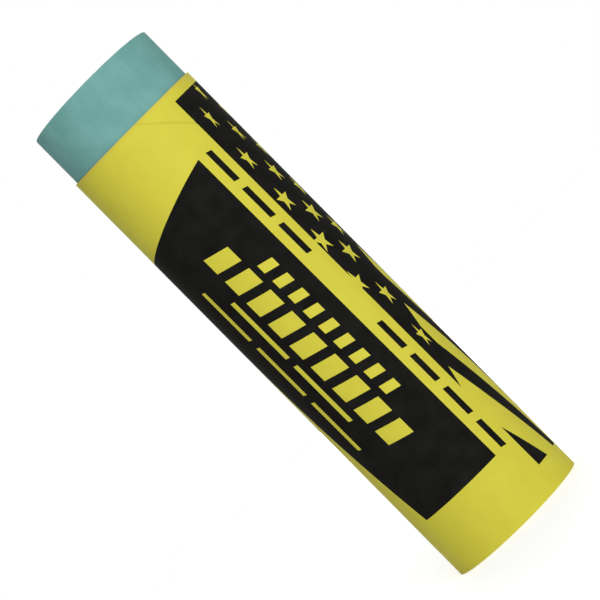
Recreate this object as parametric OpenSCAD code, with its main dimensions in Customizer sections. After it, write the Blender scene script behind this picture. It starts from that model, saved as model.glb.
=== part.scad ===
// Solid paint marker: a cast stick of paint in a spiral-wound paper tube under a printed label.
// It stands on its base end, with the bare paint tip up and the printed panel facing -Y.
// A place on the label is given by its height z and by its distance round the paper, counted
// from the front towards +X.

/* [Paint stick] */
// Diameter of the cast stick of paint
stick_d = 28.4; // [25:0.2:32]
// Length of the stick from base to tip
stick_l = 112; // [100:1:130]
// Rounding of the rim at the tip
tip_round = 0.2; // [0.1:0.05:1.5]

/* [Paper sleeve] */
// Length of paint left bare at the tip
bare_l = 11; // [6:0.5:18]
// Wall of the spiral-wound tube
tube_wall = 0.28; // [0.2:0.02:0.8]
// Thickness of the label paper
label_t = 0.13; // [0.08:0.01:0.25]
// Clearance between one layer and the next
layer_gap = 0.02; // [0.01:0.01:0.05]
// Angle by which the sleeve's tip end is cut out of square
cut_tilt = 3.5; // [0:0.5:6]
// Side on which that cut is lowest, in degrees from the front
cut_low_turn = -11; // [-45:1:45]

/* [Ply seam] */
// Rise of the outer ply's seam in one turn round the tube
seam_pitch = 75.7; // [55:0.1:110]
// Gap between one turn of the outer ply and the next, measured round the tube
seam_w = 0.6; // [0.3:0.05:1.2]
// Turn from the front at which the seam starts at the base
seam_turn = 119; // [0:1:360]

/* [Glued lap] */
// Width of the label's glued lap
lap_w = 6; // [3:0.5:10]
// Turn from the front at which the label climbs onto itself
lap_turn = 188; // [175:1:200]
// Distance in which the paper climbs onto the lap
lap_climb = 1.5; // [0.5:0.5:3]

/* [Front panel] */
// Place of the panel's straight long edge, round the label from the front
panel_edge = 5; // [3:0.5:7]
// Width of the panel at its base end
panel_base_w = 19.3; // [16:0.1:22]
// Bare paper between the panel and the base
panel_base_margin = 12.2; // [8:0.2:18]
// Bare paper between the panel's tip corner and the sleeve's tip end
panel_tip_margin = 13.4; // [10:0.2:18]
// Angle of the panel's slanted end
panel_end_slant = 18.3; // [10:0.1:25]
// Angle by which the panel widens towards the tip
panel_flare = 9.7; // [5:0.1:14]

/* [Bars on the panel] */
// Lean of the bars' ends
bar_lean = 14; // [0:1:25]
// Height of the small bars above the large ones
small_bar_h = 3; // [2:0.1:3.6]
// Height of the large bars
large_bar_h = 5.2; // [4:0.1:5.6]
// Height of the thin rules below the bars
rule_h = 1; // [0.6:0.1:2]
// Bare panel at each end of the small bars
small_bar_inset = 21; // [16:0.5:26]
// Bare panel at each end of the large bars
large_bar_inset = 13.5; // [8:0.5:20]
// Bare panel at each end of the upper rule
upper_rule_inset = 22.5; // [14:0.5:26]
// Bare panel at each end of the lower rule
lower_rule_inset = 17.5; // [10:0.5:22]
// Gap between one bar and the next
bar_gap = 1.9; // [0.6:0.1:2.4]
// Number of bars in each of the two upper rows
bar_count = 9; // [5:1:12]
// Number of lengths that the upper rule is broken into
upper_rule_count = 2; // [1:1:4]
// Number of lengths that the lower rule is broken into
lower_rule_count = 3; // [1:1:4]

/* [Star band] */
// Place of the band's near edge, round the label from the front
band_edge = 10.1; // [9:0.1:12]
// Width of the band, round the label
band_w = 27; // [20:0.5:30]
// Bare paper between the band and the base
band_base_margin = 5.3; // [3:0.1:9]
// Bare paper between the band and the sleeve's tip end
band_tip_margin = 2.3; // [1:0.1:5]
// Distance from a star's middle to the point that it turns to the tip
star_r = 2.9; // [2:0.1:3.4]
// Distance between stars along a row
star_pitch = 10; // [8:0.1:12]
// Distance between one row of stars and the next
star_row_pitch = 4; // [3.6:0.1:5]
// Distance from the band's near edge to the first row of stars, at the tip
star_lead = 4.1; // [3:0.1:5.5]
// Angle by which the rows of stars slant towards the near edge on their way to the base
star_slant = 5.3; // [0:0.1:8]

/* [Wave drawn in the band] */
// Height at which the drawn cloth faces square on
wave_mid = 62; // [50:1:75]
// Length of the wave
wave_l = 66; // [50:1:90]
// Width of a star there, as a share of a regular star's
star_wide = 0.66; // [0.5:0.01:0.8]
// Width of a star where the cloth turns away
star_narrow = 0.32; // [0.25:0.01:0.5]
// Distance by which the wave carries a row of stars sideways
star_sway = 0.7; // [0:0.1:1.5]

/* [Tapered stripes] */
// Height at which the first stripe starts
stripe_start = 29.5; // [24:0.5:36]
// Rise from the start of one stripe to the start of the next
stripe_rise = 13.75; // [12:0.25:18]
// Step round the label between the starts of the stripes
stripe_step = 4.25; // [3.5:0.05:6]
// Step round the label between the stripes where they would reach the base
stripe_end_step = 6.3; // [5.5:0.1:8]
// Width of a stripe where it would reach the base
stripe_w = 4.2; // [3:0.1:5]

/* [Marks on the bare strip] */
// Height of the marks
mark_h = 1.3; // [0.8:0.1:2.2]
// Length of the row of marks near the tip
tip_marks_l = 26; // [20:0.5:28]
// Length of the row of marks near the base
base_marks_l = 32; // [26:0.5:34]
// Number of marks near the tip
tip_mark_count = 3; // [2:1:6]
// Number of marks near the base
base_mark_count = 4; // [2:1:8]

/* [Hidden] */
$fn = 96;

stick_r = stick_d / 2;
tube_in_r = stick_r + layer_gap;
tube_r = tube_in_r + tube_wall;
label_in_r = tube_r + layer_gap;
label_r = label_in_r + label_t;
sleeve_l = stick_l - bare_l;

// Print is ink on the label: a film thick enough to be a solid
ink_t = 0.04;
ink_in_r = label_r + layer_gap;
ink_r = ink_in_r + ink_t;

// Large cutting shapes reach this far, and small ones start and end this far from the surface
reach = stick_d;
bite = 1.2;

paint_colour = [0.47, 0.68, 0.65];
tube_colour = [0.72, 0.66, 0.52];
label_colour = [0.85, 0.81, 0.29];
ink_colour = [0.10, 0.10, 0.09];

// Angle for a distance round the label
function turn_of(round_mm) = round_mm / label_r * 180 / PI;

// Sideways place, seen square on at round_mid, of a point that lies round_mm round the label
function across(round_mm, round_mid) = label_r * sin(turn_of(round_mm - round_mid));

// A point in plan at a radius and a turn from the front
function plan_point(r, turn) = [r * sin(turn), -r * cos(turn)];

// A point of an outline, seen square on at round_mid
function seen(round_mm, z, round_mid) = [across(round_mm, round_mid), z];

// A ring or part of a ring, between two radii, two heights and two turns from the front
module ring_part(r_in, r_out, z_low, z_high, turn_from, turn_to) {
    rotate([0, 0, turn_from - 90])
        rotate_extrude(angle = turn_to - turn_from)
            translate([r_in, z_low])
                square([r_out - r_in, z_high - z_low]);
}

// A block with a flat outline as its section, square on at round_mid, that starts at a distance
// from the axis and runs outwards through the label's surface
module punch(round_mid, from = label_r - bite) {
    rotate([0, 0, turn_of(round_mid)])
        translate([0, -from, 0])
            rotate([90, 0, 0])
                linear_extrude(ink_r + bite - from)
                    children();
}

// All that lies above the sleeve's slanted cut, or the given distance below it
module above_cut(below = 0) {
    rotate([0, 0, cut_low_turn])
        translate([0, 0, sleeve_l - below])
            rotate([cut_tilt, 0, 0])
                translate([-reach, -reach, 0])
                    cube([2 * reach, 2 * reach, reach]);
}

module paint_stick() {
    color(paint_colour)
        rotate_extrude()
            union() {
                square([stick_r, stick_l - tip_round]);
                square([stick_r - tip_round, stick_l]);
                translate([stick_r - tip_round, stick_l - tip_round])
                    circle(tip_round);
            }
}

// The tube is wound from two plies, and the outer one's seam winds up it as a groove one ply deep
seam_slice = 6;

module ply_seam() {
    twist = 360 * stick_l / seam_pitch;
    rotate([0, 0, seam_turn - 90])
        linear_extrude(stick_l, twist = twist, slices = ceil(twist / seam_slice), segments = 4)
            translate([tube_r - tube_wall / 2, -seam_w / 2])
                square([tube_wall, seam_w]);
}

module paper_tube() {
    color(tube_colour)
        difference() {
            ring_part(tube_in_r, tube_r, 0, stick_l, 0, 360);
            above_cut();
            ply_seam();
        }
}

// Where the label laps over its own start it lies one paper thickness further out, and it climbs
// there up a straight slope
module label_lap() {
    foot = plan_point(label_r, lap_turn - turn_of(lap_climb));
    top = plan_point(label_r + label_t, lap_turn);
    slope = (top - foot) * bite / norm(top - foot);
    outward = plan_point(bite, lap_turn);
    difference() {
        ring_part(
            label_r - label_t / 2, label_r + label_t, 0, stick_l,
            lap_turn - turn_of(lap_climb + bite / 2), lap_turn + turn_of(lap_w)
        );
        translate([0, 0, -bite])
            linear_extrude(stick_l + 2 * bite)
                polygon([foot - slope, top + slope, top + slope + outward, foot - slope + outward]);
    }
}

module label() {
    color(label_colour)
        difference() {
            union() {
                ring_part(label_in_r, label_r, 0, stick_l, 0, 360);
                label_lap();
            }
            above_cut();
        }
}

// The panel's slanted end is seen square on from one place, and its lower edge from another
slant_mid = -5;
flare_mid = -21.5;

// A flat outline reaches nearly a quarter turn round from where it is seen square on
outline_turn = 89;

panel_low = panel_base_margin;
panel_high = sleeve_l - panel_tip_margin;
panel_round_low = panel_edge - panel_base_w;

// The panel's hidden corner lies within this turn from the front
panel_far_turn = turn_of(slant_mid) - outline_turn;

// All that lies beyond the panel's slanted end
module beyond_slant() {
    corner = seen(panel_edge, panel_high, slant_mid);
    slope = tan(panel_end_slant);
    punch(slant_mid, 0)
        polygon([
            [corner[0] + bite, corner[1] + bite * slope],
            [corner[0] + bite, stick_l],
            [corner[0] - 2 * reach, stick_l],
            [corner[0] - 2 * reach, corner[1] - 2 * reach * slope]
        ]);
}

// All that lies beyond the panel's lower edge
module beyond_flare() {
    corner = seen(panel_round_low, panel_low, flare_mid);
    drift = tan(panel_flare);
    punch(flare_mid, 0)
        polygon([
            [corner[0] + panel_low * drift, 0],
            [corner[0] - (stick_l - panel_low) * drift, stick_l],
            [-reach, stick_l],
            [-reach, 0]
        ]);
}

// A row of equal leaning bars, cut through the print, between two heights
module bar_row(round_mid, h, z_low, z_high, count) {
    lean = h * tan(bar_lean);
    bar_l = (z_high - z_low - lean - (count - 1) * bar_gap) / count;
    for (i = [0 : count - 1]) {
        z = z_low + i * (bar_l + bar_gap);
        punch(round_mid)
            polygon([
                [h / 2, z],
                [h / 2, z + bar_l],
                [-h / 2, z + bar_l + lean],
                [-h / 2, z + lean]
            ]);
    }
}

// Rows of bars on the panel, counted down from its straight edge
small_bar_mid = 0.3;
large_bar_mid = -5.1;
upper_rule_mid = -9.9;
lower_rule_mid = -13.6;

// A row of bars with the same bare panel at each of its ends
module panel_row(round_mid, h, inset, count) {
    bar_row(round_mid, h, panel_low + inset, panel_high - inset, count);
}

module panel_bars() {
    panel_row(small_bar_mid, small_bar_h, small_bar_inset, bar_count);
    panel_row(large_bar_mid, large_bar_h, large_bar_inset, bar_count);
    panel_row(upper_rule_mid, rule_h, upper_rule_inset, upper_rule_count);
    panel_row(lower_rule_mid, rule_h, lower_rule_inset, lower_rule_count);
}

module panel_print() {
    color(ink_colour)
        difference() {
            ring_part(ink_in_r, ink_r, panel_low, sleeve_l, panel_far_turn, turn_of(panel_edge));
            beyond_slant();
            beyond_flare();
            panel_bars();
        }
}

// The band is drawn as cloth with a wave in it: 1 where it faces square on, and 0 where it turns away
function wave(z) = (1 + cos(360 * (z - wave_mid) / wave_l)) / 2;

// A plain five-pointed star, one point towards the tip, looks narrower where the cloth turns away
star_in_r = star_r * cos(72) / cos(36);

module star_at(round_mm, z) {
    share = star_narrow + (star_wide - star_narrow) * wave(z);
    punch(round_mm)
        translate([0, z])
            polygon([for (i = [0 : 9])
                let (r = i % 2 == 0 ? star_r : star_in_r, a = 90 + i * 36)
                [share * r * cos(a), r * sin(a)]]);
}

// A stripe starts as a point and widens past the end of the band. Its near side steps out to a
// shoulder, longest on the first stripe, and its far side bends once.
stripe_lead = 1.4;
shoulder_out = 1.7;
shoulder_drop = 5.25;
shoulder_l = 8.5;
bend_out = 2.4;
bend_drop = 9.5;
stripe_end_lead = 5.5;

// Height of the slanted line that divides the stars from the stripes
function stripe_line(round_mm) =
    stripe_start + (round_mm - band_edge - stripe_lead) * stripe_rise / stripe_step;

// Rows are staggered by half a pitch. A star is left out where its middle would lie off the band,
// or among the stripes.
stars_high = sleeve_l - band_tip_margin;
star_margin = 1.9;
stripe_clear = 3;
star_rows = ceil((band_w - star_lead) / star_row_pitch);

module stars() {
    for (row = [0 : star_rows - 1]) {
        round_high = band_edge + star_lead + row * star_row_pitch;
        z_high = stars_high - star_margin - (row + 1) % 2 * star_pitch / 2;
        for (z = [z_high : -star_pitch : band_base_margin]) {
            round_mm = round_high - (stars_high - z) * tan(star_slant) + star_sway * wave(z);
            if (round_mm > band_edge && z > stripe_line(round_mm) + stripe_clear)
                star_at(round_mm, z);
        }
    }
}

// Stripes follow one another until they run out of the band's width or its length
stripe_count = min(
    ceil((band_w - stripe_lead) / stripe_step),
    ceil((stars_high - stripe_start) / stripe_rise)
);

module stripe(i) {
    round_start = band_edge + stripe_lead + i * stripe_step;
    round_end = band_edge + stripe_end_lead + i * stripe_end_step;
    round_mid = (round_start + round_end) / 2;
    z_start = stripe_start + i * stripe_rise;
    z_shoulder = z_start - shoulder_drop;
    punch(round_mid, 0)
        polygon([
            seen(round_start, z_start, round_mid),
            seen(round_start - shoulder_out, z_shoulder, round_mid),
            seen(round_start - shoulder_out, z_shoulder - shoulder_l / (i + 1), round_mid),
            seen(round_end, 0, round_mid),
            seen(round_end + stripe_w, 0, round_mid),
            seen(round_start + bend_out, z_start - bend_drop, round_mid)
        ]);
}

module star_band_print() {
    color(ink_colour)
        difference() {
            ring_part(
                ink_in_r, ink_r, band_base_margin, stick_l,
                turn_of(band_edge), turn_of(band_edge + band_w)
            );
            above_cut(band_tip_margin);
            stars();
            for (i = [0 : stripe_count - 1])
                stripe(i);
        }
}

// Marks lie midway on the bare strip between the panel and the band
strip_mid = (panel_edge + band_edge) / 2;

module strip_print() {
    color(ink_colour)
        intersection() {
            ring_part(ink_in_r, ink_r, 0, sleeve_l, turn_of(panel_edge), turn_of(band_edge));
            union() {
                bar_row(strip_mid, mark_h, panel_high - tip_marks_l, panel_high, tip_mark_count);
                bar_row(strip_mid, mark_h, panel_low, panel_low + base_marks_l, base_mark_count);
            }
        }
}

paint_stick();
paper_tube();
label();
panel_print();
star_band_print();
strip_print();
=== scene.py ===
import math

import bmesh
import bpy
from mathutils import Matrix, Vector, noise


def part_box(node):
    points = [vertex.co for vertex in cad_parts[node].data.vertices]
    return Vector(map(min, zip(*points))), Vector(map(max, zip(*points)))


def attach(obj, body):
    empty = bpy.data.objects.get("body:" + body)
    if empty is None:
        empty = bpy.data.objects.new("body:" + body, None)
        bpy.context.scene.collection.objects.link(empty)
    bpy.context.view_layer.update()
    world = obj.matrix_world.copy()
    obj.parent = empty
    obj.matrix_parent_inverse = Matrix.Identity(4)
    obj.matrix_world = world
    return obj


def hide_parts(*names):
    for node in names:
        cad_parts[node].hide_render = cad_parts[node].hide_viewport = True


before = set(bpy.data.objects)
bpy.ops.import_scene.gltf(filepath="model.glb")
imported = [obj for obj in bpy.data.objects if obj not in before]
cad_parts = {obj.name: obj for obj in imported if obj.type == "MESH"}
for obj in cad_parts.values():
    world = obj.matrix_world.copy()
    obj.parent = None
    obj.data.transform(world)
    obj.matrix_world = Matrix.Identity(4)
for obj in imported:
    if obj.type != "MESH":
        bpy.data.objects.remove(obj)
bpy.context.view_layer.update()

# Sizes that the frame holds, in metres
MM = 0.001
STICK_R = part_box("paint_stick")[1].x
STICK_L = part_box("paint_stick")[1].z
TUBE_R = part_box("paper_tube")[1].x
LABEL_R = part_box("label")[1].x

# Thickness of the label paper, and the slanted cut at the sleeve's tip end
LABEL_T = 0.13 * MM
CUT_TILT = math.radians(3.5)
CUT_LOW_TURN = math.radians(-11)
SLEEVE_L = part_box("label")[1].z - LABEL_R * math.tan(CUT_TILT)

# The outer ply's seam winds round the tube. The label sinks a little into it, and creases there,
# where its yellow is darkened as painted shade.
# The crease is full up to SEAM_FADE_L from the tip end, and fades to SEAM_FAINT of that over as
# much again.
SEAM_PITCH = 75.7 * MM
SEAM_TURN = math.radians(119)
SEAM_DIP = 0.08 * MM
SEAM_DIP_W = 0.16 * MM
SEAM_FAINT = 0.1
SEAM_FADE_L = 9 * MM

# The glued lap at the back. The paper climbs onto it in a soft step, from LAP_CLIMB before its
# start to LAP_EASE after it, and its free edge lifts a little, more in some places than in others.
LAP_TURN = math.radians(188)
LAP_W = 6 * MM
LAP_CLIMB = 1.1 * MM
LAP_EASE = 0.15 * MM
LAP_LIFT = 0.05 * MM
LAP_LIFT_L = 14 * MM

# Paper is never quite flat, and its cut edge never quite straight
PAPER_WAVE = 0.014 * MM
PAPER_WAVE_L = 7 * MM
CUT_WAVE = 0.04 * MM
CUT_WAVE_L = 3 * MM

# The print is a film on the label, and lies a little askew on it
INK_T = 0.012 * MM
INK_SINK = 0.003 * MM
PRINT_SKEW = math.radians(0.47)

# Steps of the sheets' meshes, and the lines beside each turn of the seam
COLUMN = math.radians(1.5) * LABEL_R
ROW = 2 * MM
SEAM_LINES = [d * SEAM_DIP_W for d in (-3, -2, -1.3, -0.8, -0.4, 0, 0.4, 0.8, 1.3, 2, 3)]
SEAM_TURNS = range(-2, 3)

# A point this near a cut lies on it, and points this near each other are one
ON_CUT = 1e-7
SAME_POINT = 1e-6

# The label's mesh keeps here how strongly the seam shows at each point, which sets the painted
# shade along the crease
SEAM_LAYER = "seam_mark"

# The cast paint: its rounded rim, the waves of its wall and of its tip's face, the nicks in its
# rim, and the lean of its tip end. A nick starts where the noise passes NICK_LEVEL, and is full
# NICK_SPAN above it.
RIM = 0.2 * MM
PAINT_WAVE = 0.03 * MM
PAINT_WAVE_L = 5 * MM
END_WAVE = 0.12 * MM
END_WAVE_L = 6 * MM
END_SEED = 3
NICK = 0.08 * MM
NICK_L = 1.6 * MM
NICK_SEED = 7
NICK_LEVEL = 0.62
NICK_SPAN = 0.2
TIP_TILT = math.radians(0.8)

# The stick's mesh: points in a ring, and rings from the middle of an end to its rim, close above
# the base, up the sleeve, up the bare paint and over the rim
STICK_SEGMENTS = 240
FACE_RINGS = 16
BASE_RINGS = 3
SLEEVE_RINGS = 24
BARE_RINGS = 26
RIM_RINGS = 6

# Edges where a mesh turns by more than this are drawn sharp
SHEET_SHARP = math.radians(35)
PAINT_SHARP = math.radians(60)


def smoothstep(x):
    x = min(max(x, 0.0), 1.0)
    return x * x * (3 - 2 * x)


def unevenness(point, length, seed=0.0):
    """Smooth noise from 0 to 1, with features of about the given length."""
    return 0.5 + 0.5 * noise.noise(point / length + Vector((seed, seed, seed)))


def round_point(r, turn, z):
    """The point at a radius, a turn from the front towards +X, and a height."""
    return Vector((r * math.sin(turn), -r * math.cos(turn), z))


# A place on the sleeve is flat paper first: a distance round from the front, a height, and a
# distance above the label's full radius. It is rolled up round the axis when its shape is done.


def roll_up(round_m, z, r):
    return round_point(r, round_m / LABEL_R, z)


def lay_flat(point):
    turn = math.atan2(point.x, -point.y)
    return Vector((turn * LABEL_R, point.z, math.hypot(point.x, point.y) - LABEL_R))


def cut_height(round_m):
    """Height of the sleeve's slanted tip end at a distance round from the front."""
    slant = LABEL_R * math.tan(CUT_TILT) * math.cos(round_m / LABEL_R - CUT_LOW_TURN)
    return SLEEVE_L - slant - CUT_WAVE * unevenness(roll_up(round_m, 0, LABEL_R), CUT_WAVE_L)


# The seam is a straight line on the flat paper, and comes back each time round
SEAM_LEAD = Vector((-2 * math.pi * LABEL_R, SEAM_PITCH, 0)).normalized()
SEAM_NORMAL = Vector((SEAM_LEAD.y, -SEAM_LEAD.x, 0))
SEAM_START = Vector((SEAM_TURN * LABEL_R, 0, 0))
SEAM_STEP = Vector((2 * math.pi * LABEL_R, 0, 0))


def seam_distance(round_m, z):
    """Distance from the nearest turn of the seam, square to it."""
    step = SEAM_STEP.dot(SEAM_NORMAL)
    off = (Vector((round_m, z, 0)) - SEAM_START).dot(SEAM_NORMAL)
    return abs((off + step / 2) % step - step / 2)


def seam_mark(round_m, z):
    """How strongly the seam shows: up to 1 on its line near the tip end, and less further down."""
    near_tip = smoothstep((z - SLEEVE_L) / SEAM_FADE_L + 2)
    strength = SEAM_FAINT + (1 - SEAM_FAINT) * near_tip
    return strength * math.exp(-((seam_distance(round_m, z) / SEAM_DIP_W) ** 2))


def label_surface(round_m, z):
    """Radius of the label's outside: it has slow waves, and dips along the seam."""
    wave = PAPER_WAVE * unevenness(roll_up(round_m, z, LABEL_R), PAPER_WAVE_L)
    return LABEL_R - wave - SEAM_DIP * seam_mark(round_m, z)


def label_rise(round_m, z):
    """How far the sheet lies above the first turn: nothing, or one thickness on the lap."""
    lap_start = LAP_TURN * LABEL_R
    climb = smoothstep((round_m - lap_start + LAP_CLIMB) / (LAP_CLIMB + LAP_EASE))
    near_edge = smoothstep((round_m - lap_start - LAP_W / 2) / (LAP_W / 2))
    lift = LAP_LIFT * near_edge * unevenness(Vector((0, 0, z)), LAP_LIFT_L)
    return (LABEL_T + lift) * climb


# Meshes


def cut_along(bm, point, normal):
    geom = bm.verts[:] + bm.edges[:] + bm.faces[:]
    bmesh.ops.bisect_plane(bm, geom=geom, plane_co=point, plane_no=normal, dist=ON_CUT)


def score(bm):
    """Cuts a flat sheet into columns, rows and seam lines, so that it can follow the sleeve."""
    rounds = [v.co.x for v in bm.verts]
    heights = [v.co.y for v in bm.verts]
    for i in range(math.ceil(min(rounds) / COLUMN), math.ceil(max(rounds) / COLUMN)):
        cut_along(bm, (i * COLUMN, 0, 0), (1, 0, 0))
    for i in range(math.ceil(min(heights) / ROW), math.ceil(max(heights) / ROW)):
        cut_along(bm, (0, i * ROW, 0), (0, 1, 0))
    for k in SEAM_TURNS:
        for off in SEAM_LINES:
            cut_along(bm, SEAM_START + k * SEAM_STEP + off * SEAM_NORMAL, SEAM_NORMAL)


def new_piece(name, bm, materials, stands_for, sharp_angle=SHEET_SHARP):
    """Turns a mesh into a piece in these materials, in the place of a node of the frame."""
    bmesh.ops.recalc_face_normals(bm, faces=bm.faces)
    mesh = bpy.data.meshes.new(name)
    bm.to_mesh(mesh)
    bm.free()
    for material in materials:
        mesh.materials.append(material)
    mesh.shade_smooth()
    mesh.set_sharp_from_angle(angle=sharp_angle)
    piece = bpy.data.objects.new(name, mesh)
    bpy.context.scene.collection.objects.link(piece)
    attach(piece, "root")
    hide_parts(stands_for)


def fix_order(bm):
    """Sorts the faces by place, because an extrusion makes them in an order that varies."""
    by_place = sorted(bm.faces, key=lambda f: tuple(f.calc_center_median()))
    rank = {f: i for i, f in enumerate(by_place)}
    bm.faces.sort(key=lambda f: rank[f])


def flat_sheet(start, end):
    """A flat sheet from one distance round to another, with the sleeve's slanted cut on top."""
    bm = bmesh.new()
    count = math.ceil((end - start) / COLUMN)
    low, high = [], []
    for i in range(count + 1):
        round_m = start + (end - start) * i / count
        low.append(bm.verts.new((round_m, 0, 0)))
        high.append(bm.verts.new((round_m, cut_height(round_m), 0)))
    for i in range(count):
        bm.faces.new((low[i], low[i + 1], high[i + 1], high[i]))
    return bm


def make_label(face, edge):
    """One sheet of paper, rolled once round the tube and glued over its own start."""
    start = (LAP_TURN - 2 * math.pi) * LABEL_R + LAP_EASE
    end = LAP_TURN * LABEL_R + LAP_W
    bm = flat_sheet(start, end)
    score(bm)
    made = bmesh.ops.extrude_face_region(bm, geom=bm.faces[:])
    for v in (g for g in made["geom"] if isinstance(g, bmesh.types.BMVert)):
        v.co.z = -LABEL_T
    for f in bm.faces:
        depths = [v.co.z for v in f.verts]
        on_cut_edge = max(depths) - min(depths) > LABEL_T / 2
        f.material_index = int(on_cut_edge)
    fix_order(bm)
    marks = bm.verts.layers.float.new(SEAM_LAYER)
    for v in bm.verts:
        round_m, z, depth = v.co
        v[marks] = seam_mark(round_m, z)
        v.co = roll_up(round_m, z, label_surface(round_m, z) + label_rise(round_m, z) + depth)
    new_piece("label_sheet", bm, [face, edge], "label")


def make_print(name, node, ink):
    """The node's print as a thin film that follows the label's surface."""
    bm = bmesh.new()
    bm.from_mesh(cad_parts[node].data)
    bmesh.ops.remove_doubles(bm, verts=bm.verts, dist=SAME_POINT)
    for v in bm.verts:
        v.co = lay_flat(v.co)
        v.co.x += math.tan(PRINT_SKEW) * (SLEEVE_L / 2 - v.co.y)
    score(bm)
    depths = [v.co.z for v in bm.verts]
    middle = (max(depths) + min(depths)) / 2
    for v in bm.verts:
        round_m, z, depth = v.co
        film = INK_T if depth > middle else -INK_SINK
        v.co = roll_up(round_m, z, label_surface(round_m, z) + film)
    new_piece(name, bm, [ink], node)


def paint_profile():
    """Radius and height of the stick's outline, from the middle of its base to that of its tip."""
    bare_l = STICK_L - RIM - SLEEVE_L
    face = [STICK_R * i / FACE_RINGS for i in range(1, FACE_RINGS)]
    low = [RIM * i for i in range(1, BASE_RINGS + 1)]
    wall = [SLEEVE_L * i / SLEEVE_RINGS for i in range(1, SLEEVE_RINGS)]
    bare = [SLEEVE_L + bare_l * i / BARE_RINGS for i in range(BARE_RINGS)]
    arc = [math.pi / 2 * i / RIM_RINGS for i in range(RIM_RINGS + 1)]
    rim = [(STICK_R - RIM * (1 - math.cos(a)), STICK_L - RIM * (1 - math.sin(a))) for a in arc]
    return (
        [(r, 0) for r in face] + [(STICK_R, z) for z in [0] + low + wall + bare]
        + rim + [(r, STICK_L) for r in reversed(face)]
    )


def paint_point(r, turn, z):
    """A point of the stick, set back a little where the cast paint is uneven. Its base is flat."""
    point = round_point(r, turn, z)
    if z < RIM / 2:
        return point
    side = smoothstep((r - STICK_R + 3 * RIM) / (2 * RIM))
    top = smoothstep((z - STICK_L + 2 * RIM) / (2 * RIM))
    worn = smoothstep((unevenness(point, NICK_L, NICK_SEED) - NICK_LEVEL) / NICK_SPAN)
    nick = NICK * worn * side * top
    bare = max(z - SLEEVE_L, 0) / (STICK_L - SLEEVE_L)
    back = side * PAINT_WAVE * unevenness(point, PAINT_WAVE_L) + nick
    down = top * (1 - side) * END_WAVE * unevenness(point, END_WAVE_L, END_SEED) + nick
    down += bare * math.tan(TIP_TILT) * (STICK_R - point.x)
    return round_point(r - back, turn, z - down)


def make_paint(paint):
    """The cast stick of paint, as rings of points from the base to the tip."""
    bm = bmesh.new()
    turns = [2 * math.pi * i / STICK_SEGMENTS for i in range(STICK_SEGMENTS)]
    rings = [
        [bm.verts.new(paint_point(r, turn, z)) for turn in turns] for r, z in paint_profile()
    ]
    for low, high in zip(rings, rings[1:]):
        for i in range(STICK_SEGMENTS):
            j = (i + 1) % STICK_SEGMENTS
            bm.faces.new((low[i], low[j], high[j], high[i]))
    for ring, z in ((rings[0], 0), (rings[-1], STICK_L)):
        middle = bm.verts.new(paint_point(0, 0, z))
        for i in range(STICK_SEGMENTS):
            bm.faces.new((middle, ring[i], ring[(i + 1) % STICK_SEGMENTS]))
    new_piece("paint_stick_cast", bm, [paint], "paint_stick", PAINT_SHARP)


# Materials

# Colours, as linear red, green and blue
YELLOW = (0.685, 0.629, 0.062)
YELLOW_DEEP = (0.66, 0.602, 0.058)
YELLOW_OILED = (0.66, 0.50, 0.08)
# Painted shade: the yellow darkened along the seam's crease
YELLOW_CREASE_SHADE = (0.60, 0.54, 0.052)
BLACK = (0.0086, 0.0084, 0.0076)
BLACK_WORN = (0.0142, 0.0139, 0.0126)
PAPER_WHITE = (0.72, 0.70, 0.62)
PAPER_SHADE = (0.58, 0.55, 0.46)
CARD = (0.44, 0.36, 0.24)
CARD_DARK = (0.32, 0.25, 0.16)
TEAL = (0.159, 0.372, 0.343)
TEAL_PALE = (0.189, 0.419, 0.390)
TEAL_DEEP = (0.131, 0.321, 0.295)
FLOOR_WHITE = (0.86, 0.86, 0.86)
WHITE = (1, 1, 1)

# Size of the clouds and fibres of paper, relief of the fibres where it is printed and where it is
# raw, and how far its roughness varies
PAPER_CLOUD_L = 3.5 * MM
FIBRE_L = 0.22 * MM
PRINTED_RELIEF = 0.012 * MM
RAW_RELIEF = 0.03 * MM
ROUGHNESS_VARIES = 0.05

# Size of the paint's features, stretch of its streaks along the stick, relief of the other
# features, and roughness
PAINT_CLOUD_L = 5 * MM
PAINT_GRAIN_L = 0.5 * MM
PAINT_STREAK_L = 1.2 * MM
PAINT_PIT_L = 0.9 * MM
STREAK_SCALE = (1, 1, 0.12)
PAINT_CLOUD_RELIEF = 0.12 * MM
PAINT_GRAIN_RELIEF = 0.04 * MM
PAINT_PIT_RELIEF = 0.05 * MM
PAINT_ROUGHNESS = (0.5, 0.66)

# Values of a noise texture between which a second colour, or what else it steers, comes in. HALF_IN
# lets in only half of it.
NOISE_SPAN = (0.3, 0.7)
PAPER_CLOUDS = (0.35, 0.7)
PAPER_SPECKS = (0.62, 0.8)
PAINT_CLOUDS = (0.4, 0.68)
PAINT_STREAKS = (0.55, 0.8)
PAINT_SPECKS = (0.6, 0.8)
PAINT_PITS = (0.0, 0.12)
HALF_IN = (0, 0.5)

# Width of the strip along the tip end where oil from the paint has stained the label
STAIN_W = 1.1 * MM

# The dark line between the card's plies: how far it reaches on each side of its middle before it
# starts to fade and where it ends, and its share there
PLY_LINE_SPAN = (0.01 * MM, 0.03 * MM)
PLY_LINE_SHARE = (0.8, 0)

# Sockets that go by number, because others have the same names: the Mix node's two colours and its
# result, and the Mix Shader's two shaders
MIX_FIRST, MIX_SECOND, MIX_RESULT = 6, 7, 2
SHADER_FIRST, SHADER_SECOND = 1, 2

VECTOR_MATH = "ShaderNodeVectorMath"


def new_material(name):
    material = bpy.data.materials.new(name)
    material.use_nodes = True
    return material, material.node_tree, material.node_tree.nodes["Principled BSDF"]


def set_inputs(tree, node, values):
    """Gives a node's inputs, by name or number, their values: numbers, or a socket to link."""
    for name, value in values.items():
        socket = node.inputs[name]
        if isinstance(value, bpy.types.NodeSocket):
            tree.links.new(value, socket)
        else:
            socket.default_value = (*value, 1) if socket.type == "RGBA" else value


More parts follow.
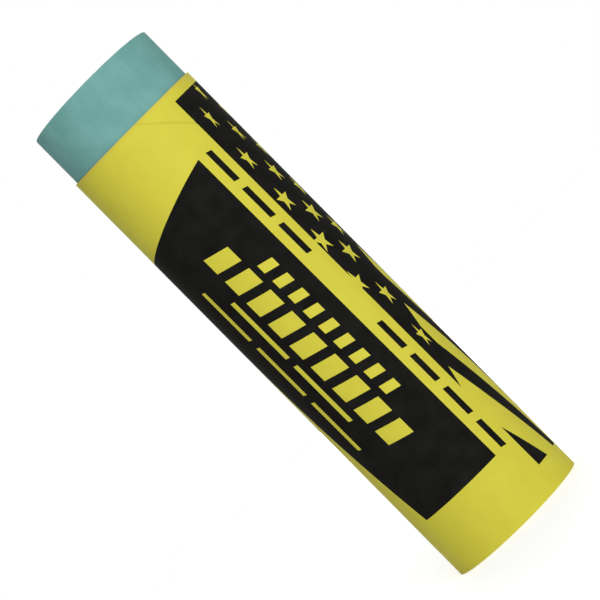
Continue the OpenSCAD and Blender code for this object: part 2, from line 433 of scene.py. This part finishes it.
def new_node(tree, kind, values):
    node = tree.nodes.new(kind)
    set_inputs(tree, node, values)
    return node


def worked_out(tree, operation, *values, kind="ShaderNodeMath", result="Value"):
    """What a maths node makes of the values."""
    node = tree.nodes.new(kind)
    node.operation = operation
    set_inputs(tree, node, dict(enumerate(values)))
    return node.outputs[result]


def own_place(tree):
    """The shaded point's place in the object's own coordinates, in metres."""
    return tree.nodes.new("ShaderNodeTexCoord").outputs["Object"]


def texture(tree, feature, detail=3, kind="ShaderNodeTexNoise", scale=(1, 1, 1)):
    """Noise in the object's own coordinates, with features of about the given size in metres."""
    mapping = new_node(tree, "ShaderNodeMapping", {"Vector": own_place(tree), "Scale": scale})
    place = mapping.outputs["Vector"]
    return new_node(tree, kind, {"Vector": place, "Scale": 1 / feature, "Detail": detail})


def ranged(tree, value, span, onto=(0, 1)):
    """Carries one span of values onto another. What lies outside stays at its ends."""
    ends = {"From Min": span[0], "From Max": span[1], "To Min": onto[0], "To Max": onto[1]}
    return new_node(tree, "ShaderNodeMapRange", {"Value": value, **ends}).outputs["Result"]


def mixed(tree, share, first, second):
    """A mix of two colours, with the given share of the second."""
    node = tree.nodes.new("ShaderNodeMix")
    node.data_type = "RGBA"
    set_inputs(tree, node, {"Factor": share, MIX_FIRST: first, MIX_SECOND: second})
    return node.outputs[MIX_RESULT]


def bumped(tree, height, relief, under=None):
    """A surface normal that follows the height, over another one if that is given."""
    values = {"Height": height, "Distance": relief, "Strength": 1}
    if under is not None:
        values["Normal"] = under
    return new_node(tree, "ShaderNodeBump", values).outputs["Normal"]


def paper_shader(name, colour, mottle, roughness, specular, relief):
    """Paper or card: fine fibres in its surface, and a colour that clouds a little."""
    material, tree, shader = new_material(name)
    clouds = texture(tree, PAPER_CLOUD_L, detail=4).outputs["Fac"]
    fibres = texture(tree, FIBRE_L).outputs["Fac"]
    clouded = mixed(tree, ranged(tree, clouds, PAPER_CLOUDS), colour, mottle)
    tint = mixed(tree, ranged(tree, fibres, PAPER_SPECKS, HALF_IN), clouded, mottle)
    rough = (roughness - ROUGHNESS_VARIES, roughness + ROUGHNESS_VARIES)
    set_inputs(tree, shader, {
        "Base Color": tint,
        "Roughness": ranged(tree, clouds, NOISE_SPAN, rough),
        "Specular IOR Level": specular,
        "Normal": bumped(tree, fibres, relief),
    })
    return material, tree, shader, tint


def yellow_print():
    """The label's printed yellow, deeper where oil has crept into its tip end, and darkened along
    the crease as painted shade.
    """
    material, tree, shader, tint = paper_shader(
        "printed_yellow", YELLOW, YELLOW_DEEP, roughness=0.58, specular=0.08, relief=PRINTED_RELIEF
    )
    lean = math.sin(CUT_TILT)
    off_cut = (lean * math.sin(CUT_LOW_TURN), -lean * math.cos(CUT_LOW_TURN), math.cos(CUT_TILT))
    height = worked_out(tree, "DOT_PRODUCT", own_place(tree), off_cut, kind=VECTOR_MATH)
    edge = SLEEVE_L * math.cos(CUT_TILT)
    near = ranged(tree, height, (edge - STAIN_W, edge), HALF_IN)
    stained = mixed(tree, near, tint, YELLOW_OILED)
    # Painted shade along the seam's crease, as strong as the mesh keeps it at each point
    mark = tree.nodes.new("ShaderNodeAttribute")
    mark.attribute_name = SEAM_LAYER
    crease_shaded = mixed(tree, mark.outputs["Fac"], stained, YELLOW_CREASE_SHADE)
    set_inputs(tree, shader, {"Base Color": crease_shaded})
    return material


def black_print():
    return paper_shader(
        "printed_black", BLACK, BLACK_WORN, roughness=0.6, specular=0.01, relief=PRINTED_RELIEF
    )[0]


def paper_edge():
    return paper_shader(
        "paper_edge", PAPER_WHITE, PAPER_SHADE, roughness=0.8, specular=0.2, relief=RAW_RELIEF
    )[0]


def wound_card():
    """Raw grey-brown card, with the line between its two plies on the cut ends."""
    material, tree, shader, tint = paper_shader(
        "wound_card", CARD, CARD_DARK, roughness=0.85, specular=0.2, relief=RAW_RELIEF
    )
    ply_r = (STICK_R + TUBE_R) / 2
    flat = worked_out(
        tree, "MULTIPLY", own_place(tree), (1, 1, 0), kind=VECTOR_MATH, result="Vector"
    )
    radius = worked_out(tree, "LENGTH", flat, kind=VECTOR_MATH)
    off_line = worked_out(tree, "ABSOLUTE", worked_out(tree, "SUBTRACT", radius, ply_r))
    line = ranged(tree, off_line, PLY_LINE_SPAN, PLY_LINE_SHARE)
    set_inputs(tree, shader, {"Base Color": mixed(tree, line, tint, CARD_DARK)})
    return material


def solid_paint():
    """Waxy cast paint: dull, clouded, with fine pits and faint streaks along the stick."""
    material, tree, shader = new_material("solid_paint")
    clouds = texture(tree, PAINT_CLOUD_L, detail=5).outputs["Fac"]
    grain = texture(tree, PAINT_GRAIN_L, detail=4).outputs["Fac"]
    streaks = texture(tree, PAINT_STREAK_L, scale=STREAK_SCALE).outputs["Fac"]
    pits = texture(tree, PAINT_PIT_L, kind="ShaderNodeTexVoronoi").outputs["Distance"]
    pale = mixed(tree, ranged(tree, clouds, PAINT_CLOUDS), TEAL, TEAL_PALE)
    deep = mixed(tree, ranged(tree, streaks, PAINT_STREAKS, HALF_IN), pale, TEAL_DEEP)
    spotted = mixed(tree, ranged(tree, grain, PAINT_SPECKS, HALF_IN), deep, TEAL_PALE)
    lumps = bumped(tree, clouds, PAINT_CLOUD_RELIEF)
    fine = bumped(tree, grain, PAINT_GRAIN_RELIEF, under=lumps)
    pitted = bumped(tree, ranged(tree, pits, PAINT_PITS), PAINT_PIT_RELIEF, under=fine)
    set_inputs(tree, shader, {
        "Base Color": spotted,
        "Roughness": ranged(tree, grain, NOISE_SPAN, PAINT_ROUGHNESS),
        "Specular IOR Level": 0.04,
        "Normal": pitted,
    })
    return material


def dress_tube(card):
    """The tube keeps the mesh that it has in the frame, in a material of its own."""
    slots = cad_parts["paper_tube"].data.materials
    slots.clear()
    slots.append(card)


# Camera: the photograph's viewing angle, with the marker's axis across the frame's diagonal.
# The lens and the sensor are in millimetres.
CAMERA_DISTANCE = 552.9 * MM
CAMERA_HEIGHT = 59.6 * MM
AIM = Vector((-0.17 * MM, 0, 56.77 * MM))
LENS = 180
SENSOR = 36
CLIP_START = 0.05
CLIP_END = 20
AXIS_LEAN = math.radians(44.72)


def make_camera():
    """A camera in front of the marker, turned so that the marker leans across the frame."""
    data = bpy.data.cameras.new("camera")
    data.lens = LENS
    data.sensor_width = SENSOR
    data.clip_start = CLIP_START
    data.clip_end = CLIP_END
    camera = bpy.data.objects.new("camera", data)
    place = Vector((0, -CAMERA_DISTANCE, CAMERA_HEIGHT))
    back = (place - AIM).normalized()
    level = Vector((0, 0, 1)).cross(back).normalized()
    upright = back.cross(level)
    right = level * math.cos(AXIS_LEAN) - upright * math.sin(AXIS_LEAN)
    up = level * math.sin(AXIS_LEAN) + upright * math.cos(AXIS_LEAN)
    turned = Matrix((right, up, back)).transposed().to_4x4()
    camera.matrix_world = Matrix.Translation(place) @ turned
    bpy.context.scene.collection.objects.link(camera)
    bpy.context.scene.camera = camera


# Stage and light. The floor lies just under the marker, and its glow rises from NEAR_GLOW there to
# FAR_GLOW at the floor's rim. A lamp has its place and size in metres, and its power in watts.
WORLD_LIGHT = 0.33
FLOOR_R = 0.9
FLOOR_SIDES = 96
FLOOR_GAP = 0.02 * MM
NEAR_GLOW = 0.49
FAR_GLOW = 0.78
LAMPS = {
    "key": ((0.2, -0.95, 0.35), 0.5, 6.1),
    "back_fill": ((0.0, 0.95, 0.35), 0.4, 3.2),
}


def seen_or_mirrored(tree):
    """1 for a ray from the camera, a mirrored one or one through glass, and 0 for all others."""
    path = tree.nodes.new("ShaderNodeLightPath").outputs
    mirrored = worked_out(tree, "MAXIMUM", path["Is Glossy Ray"], path["Is Transmission Ray"])
    return worked_out(tree, "MAXIMUM", path["Is Camera Ray"], mirrored)


def make_world():
    """Soft even light, with a white background for what the camera sees and what is mirrored."""
    world = bpy.data.worlds.new("studio")
    world.use_nodes = True
    bpy.context.scene.world = world
    tree = world.node_tree
    shown = tree.nodes["Background"]
    set_inputs(tree, shown, {"Color": WHITE, "Strength": 1})
    light = new_node(tree, "ShaderNodeBackground", {"Color": WHITE, "Strength": WORLD_LIGHT})
    mix = new_node(tree, "ShaderNodeMixShader", {
        "Fac": seen_or_mirrored(tree),
        SHADER_FIRST: light.outputs["Background"],
        SHADER_SECOND: shown.outputs["Background"],
    })
    tree.links.new(mix.outputs["Shader"], tree.nodes["World Output"].inputs["Surface"])


def make_floor():
    """A plain white floor that takes the marker's shadow, and fades into the white further off."""
    bpy.ops.mesh.primitive_circle_add(
        vertices=FLOOR_SIDES, radius=FLOOR_R, fill_type="NGON", location=(0, 0, -FLOOR_GAP)
    )
    floor = bpy.context.object
    floor.name = "floor"
    material, tree, shader = new_material("floor_white")
    away = worked_out(tree, "LENGTH", own_place(tree), kind=VECTOR_MATH)
    rise = ranged(tree, away, (0, FLOOR_R), (NEAR_GLOW, FAR_GLOW))
    set_inputs(tree, shader, {
        "Base Color": FLOOR_WHITE,
        "Roughness": 0.9,
        "Specular IOR Level": 0.1,
        "Emission Color": WHITE,
        "Emission Strength": worked_out(tree, "MULTIPLY", seen_or_mirrored(tree), rise),
    })
    floor.data.materials.append(material)


def make_lamp(name, place, size, power):
    """A round soft lamp, turned to the middle of the marker."""
    data = bpy.data.lights.new(name, "AREA")
    data.shape = "DISK"
    data.size = size
    data.energy = power
    lamp = bpy.data.objects.new(name, data)
    lamp.location = place
    aim = Vector((0, 0, STICK_L / 2)) - Vector(place)
    lamp.rotation_euler = aim.to_track_quat("-Z", "Y").to_euler()
    bpy.context.scene.collection.objects.link(lamp)


make_camera()
make_world()
make_floor()
for name, (place, size, power) in LAMPS.items():
    make_lamp(name, place, size, power)

ink = black_print()
make_paint(solid_paint())
make_label(yellow_print(), paper_edge())
make_print("panel_ink", "panel_print", ink)
make_print("star_band_ink", "star_band_print", ink)
make_print("strip_ink", "strip_print", ink)
dress_tube(wound_card())

bpy.context.scene.view_settings.view_transform = "Standard"
